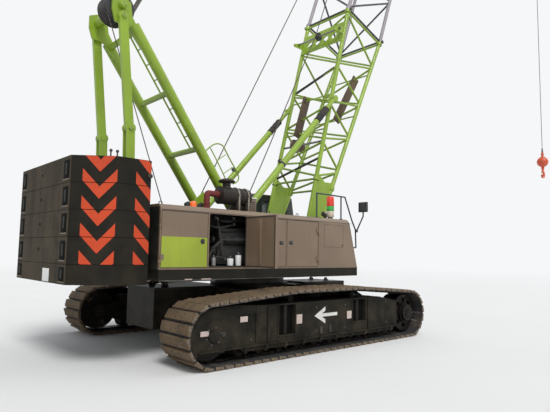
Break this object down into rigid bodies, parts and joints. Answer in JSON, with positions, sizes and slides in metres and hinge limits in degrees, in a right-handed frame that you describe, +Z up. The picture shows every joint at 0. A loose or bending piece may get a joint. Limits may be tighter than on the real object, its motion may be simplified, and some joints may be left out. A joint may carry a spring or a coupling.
{
  "type": "crawler crane, 1:2 scale model",
  "caption": "Crawler crane at half size with a raised lattice boom, gantry, winches, counterweight, cab, hinged service doors and a hook on a single rope.",
  "frame": {"origin": "on the ground under the slewing axis", "axes": "+X towards the boom's side, +Y to the machine's left, +Z up"},
  "size_m": [11.4788, 2.5755, 24.0787],
  "materials": {
    "frame_black": "dusty charcoal paint",
    "weight_black": "charcoal paint with dust",
    "weight_grey": "charcoal and worn grey paint",
    "ring_steel": "greased steel",
    "track_steel": "muddy cast steel",
    "wheel_cast": "muddy cast steel",
    "housing_grey": "semi-gloss warm grey paint",
    "lime_paint": "glossy yellow-green paint",
    "engine_grey": "oily cast iron",
    "filter_brown": "brown paint with dust",
    "lamp_plastic": "clear coloured plastic",
    "rail_blue_grey": "dark blue-grey paint",
    "mirror_black": "black plastic",
    "window_glass": "tinted glass",
    "seat_fabric": "dark woven fabric",
    "console_plastic": "grained plastic",
    "drum_steel": "greased steel and wire rope",
    "sheave_black": "black paint and grease",
    "rod_black": "black boot and rod",
    "boom_grey": "weathered grey paint with rust",
    "pendant_steel": "galvanised wire rope",
    "rope_steel": "greased wire rope",
    "hook_orange": "orange-red paint"
  },
  "bodies": {
    "undercarriage": {"car_body": "frame_black", "car_body_weights": "weight_black", "slewing_ring": "ring_steel", "track_frames": "frame_black", "track_right": "track_steel", "track_left": "track_steel", "drive_sprockets": "wheel_cast", "idler_wheels": "wheel_cast"},
    "upper": {"deck": "frame_black", "right_housing": "housing_grey", "left_housing": "housing_grey", "engine": "engine_grey", "counterweight_base": "weight_black", "counterweight_slabs": "weight_grey", "gantry_front_legs": "lime_paint", "gantry_rear_legs": "lime_paint", "air_filter": "filter_brown", "signal_lamps": "lamp_plastic", "handrails": "rail_blue_grey", "mirrors": "mirror_black", "cab": "housing_grey", "cab_glass": "window_glass", "cab_seat": "seat_fabric", "cab_console": "console_plastic"},
    "cab_door": {"cab_door": "housing_grey", "cab_door_glass": "window_glass"},
    "door_right_1": {"door_right_1": "lime_paint"},
    "door_right_2": {"door_right_2": "housing_grey"},
    "door_right_3": {"door_right_3": "housing_grey"},
    "door_right_4": {"door_right_4": "housing_grey"},
    "door_left_1": {"door_left_1": "housing_grey"},
    "door_left_2": {"door_left_2": "housing_grey"},
    "front_drum": {"front_drum": "drum_steel"},
    "rear_drum": {"rear_drum": "drum_steel"},
    "luffing_drum": {"luffing_drum": "drum_steel"},
    "gantry_sheaves": {"gantry_sheaves": "sheave_black"},
    "backstop_tubes": {"backstop_tubes": "lime_paint"},
    "backstop_rods": {"backstop_rods": "rod_black"},
    "boom": {"boom_base": "lime_paint", "boom_insert_1": "boom_grey", "boom_insert_2": "boom_grey", "boom_insert_3": "boom_grey", "boom_tip": "boom_grey", "boom_pendants": "pendant_steel"},
    "tip_sheaves": {"tip_sheaves": "sheave_black"},
    "hoist_line": {"rope_upper": "rope_steel"},
    "hoist_fall": {"rope_lower": "rope_steel"},
    "ball_weight": {"ball_weight": "hook_orange"},
    "hook": {"hook": "hook_orange"}
  },
  "joints": [
    {"name": "slew", "type": "hinge", "parent": "undercarriage", "child": "upper", "pos_m": [0, 0, 0.642], "axis": [0, 0, 1], "continuous": true},
    {"name": "luff", "type": "hinge", "parent": "upper", "child": "boom", "pos_m": [0.535, 0, 0.875], "axis": [0, 1, 0], "range_deg": [-9.5, 40.5]},
    {"name": "backstop_swing", "type": "hinge", "parent": "upper", "child": "backstop_tubes", "pos_m": [-0.6, 0, 1.175], "axis": [0, 1, 0], "range_deg": [-7, 29]},
    {"name": "backstop_slide", "type": "slide", "parent": "backstop_tubes", "child": "backstop_rods", "axis": [0.676, 0, 0.7369], "range_m": [-0.15, 0.62]},
    {"name": "hoist_line_swing", "type": "hinge", "parent": "boom", "child": "hoist_line", "pos_m": [8.8688, 0, 23.91464], "axis": [0, 1, 0], "range_deg": [-41, 10]},
    {"name": "hoist_level", "type": "slide", "parent": "hoist_line", "child": "hoist_fall", "axis": [0, 0, 1], "range_m": [-2.5, 10.3], "deforming": ["rope_upper"]},
    {"name": "hoist", "type": "slide", "parent": "hoist_fall", "child": "ball_weight", "axis": [0, 0, 1], "range_m": [-1.2, 8.4], "deforming": ["rope_lower"]},
    {"name": "hook_swivel", "type": "hinge", "parent": "ball_weight", "child": "hook", "pos_m": [9.0188, -0.045, 3.05], "axis": [0, 0, 1], "continuous": true},
    {"name": "tip_sheave_turn", "type": "hinge", "parent": "boom", "child": "tip_sheaves", "pos_m": [8.8688, 0, 23.91464], "axis": [0, 1, 0], "continuous": true},
    {"name": "gantry_sheave_turn", "type": "hinge", "parent": "upper", "child": "gantry_sheaves", "pos_m": [-1.825, 0, 3.2], "axis": [0, 1, 0], "continuous": true},
    {"name": "front_drum_turn", "type": "hinge", "parent": "upper", "child": "front_drum", "pos_m": [-0.12, 0, 0.955], "axis": [0, 1, 0], "continuous": true},
    {"name": "rear_drum_turn", "type": "hinge", "parent": "upper", "child": "rear_drum", "pos_m": [-0.74, 0, 0.955], "axis": [0, 1, 0], "continuous": true},
    {"name": "luffing_drum_turn", "type": "hinge", "parent": "upper", "child": "luffing_drum", "pos_m": [-1.27, 0, 0.955], "axis": [0, 1, 0], "continuous": true},
    {"name": "cab_door_slide", "type": "slide", "parent": "upper", "child": "cab_door", "axis": [-1, 0, 0], "range_m": [0, 0.4]},
    {"name": "door_right_1_swing", "type": "hinge", "parent": "upper", "child": "door_right_1", "pos_m": [-1.65, -0.858, 1.03], "axis": [0, 0, -1], "range_deg": [0, 90]},
    {"name": "door_right_2_swing", "type": "hinge", "parent": "upper", "child": "door_right_2", "pos_m": [-0.73, -0.858, 1.03], "axis": [0, 0, 1], "range_deg": [-90, 0]},
    {"name": "door_right_3_swing", "type": "hinge", "parent": "upper", "child": "door_right_3", "pos_m": [-0.69, -0.858, 1.03], "axis": [0, 0, -1], "range_deg": [0, 90]},
    {"name": "door_right_4_swing", "type": "hinge", "parent": "upper", "child": "door_right_4", "pos_m": [0.258, -0.858, 1.03], "axis": [0, 0, 1], "range_deg": [0, 90]},
    {"name": "door_left_1_swing", "type": "hinge", "parent": "upper", "child": "door_left_1", "pos_m": [-1.56, 0.858, 1.03], "axis": [0, 0, 1], "range_deg": [0, 90]},
    {"name": "door_left_2_swing", "type": "hinge", "parent": "upper", "child": "door_left_2", "pos_m": [-0.54, 0.858, 1.03], "axis": [0, 0, -1], "range_deg": [0, 90]}
  ],
  "couplings": [
    {"joint": "backstop_swing", "follows": "luff", "ratio": 0.71},
    {"joint": "backstop_slide", "follows": "luff", "m_per_rad": 0.87},
    {"joint": "hoist_line_swing", "follows": "luff", "ratio": -1},
    {"joint": "hoist_level", "follows": "luff", "m_per_rad": 14.35}
  ]
}
